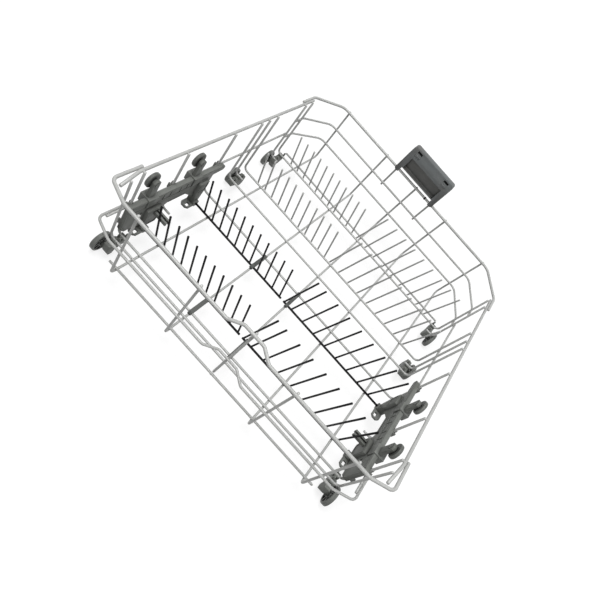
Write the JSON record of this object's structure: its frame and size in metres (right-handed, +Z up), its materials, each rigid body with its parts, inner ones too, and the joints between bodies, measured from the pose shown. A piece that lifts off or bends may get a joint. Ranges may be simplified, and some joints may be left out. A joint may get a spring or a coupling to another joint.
{
  "type": "dishwasher basket",
  "caption": "Open wire dishwasher basket with chamfered front corners, fixed and folding tines, moulded side carriers, rollers and a grip handle on its front rim.",
  "frame": {"origin": "on the ground under the middle of the overall box, rollers standing on the ground", "axes": "+Z up, -Y towards the handle at the front, +X along the front wall to the short-tine side"},
  "size_m": [0.493, 0.5489, 0.216],
  "materials": {
    "grey_wire": "smooth grey coating",
    "black_wire": "smooth black coating",
    "carrier_plastic": "fine matt moulding",
    "roller_plastic": "satin moulding",
    "clip_plastic": "fine matt moulding",
    "handle_plastic": "satin moulding"
  },
  "bodies": {
    "basket": {"back_low_wire": "grey_wire", "back_rim": "grey_wire", "cross_wire_back": "grey_wire", "cross_wire_front": "grey_wire", "fixed_tines_front": "grey_wire", "fixed_tines_inner": "grey_wire", "front_low_wire": "grey_wire", "front_mid_wire": "grey_wire", "front_rim": "grey_wire", "handle": "handle_plastic", "handle_stays": "grey_wire", "hinge_clip_centre_middle": "clip_plastic", "hinge_clip_centre_rear": "clip_plastic", "hinge_clip_right_middle": "clip_plastic", "hinge_clip_right_rear": "clip_plastic", "long_wire_centre": "grey_wire", "long_wire_left": "grey_wire", "long_wire_left_outer": "grey_wire", "long_wire_right": "grey_wire", "long_wire_right_outer": "grey_wire", "loop_wire_carrier": "grey_wire", "loop_wire_front_tines": "grey_wire", "loop_wire_hinge": "grey_wire", "loop_wire_inner_tines": "grey_wire", "loop_wire_middle": "grey_wire", "loop_wire_rear": "grey_wire", "roller_bracket_left_front": "carrier_plastic", "roller_bracket_left_middle": "carrier_plastic", "roller_bracket_left_rear": "carrier_plastic", "roller_bracket_right_front": "carrier_plastic", "roller_bracket_right_middle": "carrier_plastic", "roller_bracket_right_rear": "carrier_plastic", "side_mid_wire_left": "grey_wire", "side_mid_wire_right": "grey_wire", "side_rim_left": "grey_wire", "side_rim_right": "grey_wire", "side_stay_left_front": "grey_wire", "side_stay_left_middle": "grey_wire", "side_stay_left_rear": "grey_wire", "side_stay_right_front": "grey_wire", "side_stay_right_middle": "grey_wire", "side_stay_right_rear": "grey_wire", "tine_carrier_left": "carrier_plastic", "tine_carrier_right": "carrier_plastic"},
    "lower_roller_left_front": {"lower_roller_left_front": "roller_plastic"},
    "lower_roller_left_middle": {"lower_roller_left_middle": "roller_plastic"},
    "lower_roller_left_rear": {"lower_roller_left_rear": "roller_plastic"},
    "lower_roller_right_front": {"lower_roller_right_front": "roller_plastic"},
    "lower_roller_right_middle": {"lower_roller_right_middle": "roller_plastic"},
    "lower_roller_right_rear": {"lower_roller_right_rear": "roller_plastic"},
    "upper_roller_left_front": {"upper_roller_left_front": "roller_plastic"},
    "upper_roller_left_rear": {"upper_roller_left_rear": "roller_plastic"},
    "upper_roller_right_front": {"upper_roller_right_front": "roller_plastic"},
    "upper_roller_right_rear": {"upper_roller_right_rear": "roller_plastic"},
    "folding_tines_left_middle": {"folding_tines_left_middle": "black_wire"},
    "folding_tines_left_rear": {"folding_tines_left_rear": "black_wire"},
    "folding_tines_right_middle": {"folding_tines_right_middle": "black_wire"},
    "folding_tines_right_rear": {"folding_tines_right_rear": "black_wire"}
  },
  "joints": [
    {"name": "lower_roller_left_front_spin", "type": "hinge", "parent": "basket", "child": "lower_roller_left_front", "pos_m": [-0.24, -0.1659, 0.017], "axis": [1, 0, 0], "continuous": true},
    {"name": "lower_roller_left_middle_spin", "type": "hinge", "parent": "basket", "child": "lower_roller_left_middle", "pos_m": [-0.24, -0.0559, 0.017], "axis": [1, 0, 0], "continuous": true},
    {"name": "lower_roller_left_rear_spin", "type": "hinge", "parent": "basket", "child": "lower_roller_left_rear", "pos_m": [-0.24, 0.2381, 0.017], "axis": [1, 0, 0], "continuous": true},
    {"name": "lower_roller_right_front_spin", "type": "hinge", "parent": "basket", "child": "lower_roller_right_front", "pos_m": [0.24, -0.1659, 0.017], "axis": [1, 0, 0], "continuous": true},
    {"name": "lower_roller_right_middle_spin", "type": "hinge", "parent": "basket", "child": "lower_roller_right_middle", "pos_m": [0.24, -0.0559, 0.017], "axis": [1, 0, 0], "continuous": true},
    {"name": "lower_roller_right_rear_spin", "type": "hinge", "parent": "basket", "child": "lower_roller_right_rear", "pos_m": [0.24, 0.2381, 0.017], "axis": [1, 0, 0], "continuous": true},
    {"name": "upper_roller_left_front_spin", "type": "hinge", "parent": "basket", "child": "upper_roller_left_front", "pos_m": [-0.239, 0.0976, 0.1273], "axis": [1, 0, 0], "continuous": true},
    {"name": "upper_roller_left_rear_spin", "type": "hinge", "parent": "basket", "child": "upper_roller_left_rear", "pos_m": [-0.239, 0.1876, 0.1273], "axis": [1, 0, 0], "continuous": true},
    {"name": "upper_roller_right_front_spin", "type": "hinge", "parent": "basket", "child": "upper_roller_right_front", "pos_m": [0.239, 0.0976, 0.1273], "axis": [1, 0, 0], "continuous": true},
    {"name": "upper_roller_right_rear_spin", "type": "hinge", "parent": "basket", "child": "upper_roller_right_rear", "pos_m": [0.239, 0.1876, 0.1273], "axis": [1, 0, 0], "continuous": true},
    {"name": "folding_tines_left_middle_fold", "type": "hinge", "parent": "basket", "child": "folding_tines_left_middle", "pos_m": [-0.108, 0.0751, 0.036], "axis": [-1, 0, 0], "range_deg": [0, 80]},
    {"name": "folding_tines_left_rear_fold", "type": "hinge", "parent": "basket", "child": "folding_tines_left_rear", "pos_m": [-0.108, 0.1831, 0.036], "axis": [-1, 0, 0], "range_deg": [0, 80]},
    {"name": "folding_tines_right_middle_fold", "type": "hinge", "parent": "basket", "child": "folding_tines_right_middle", "pos_m": [0.1195, 0.0751, 0.036], "axis": [-1, 0, 0], "range_deg": [0, 80]},
    {"name": "folding_tines_right_rear_fold", "type": "hinge", "parent": "basket", "child": "folding_tines_right_rear", "pos_m": [0.1195, 0.1831, 0.036], "axis": [-1, 0, 0], "range_deg": [0, 80]}
  ]
}
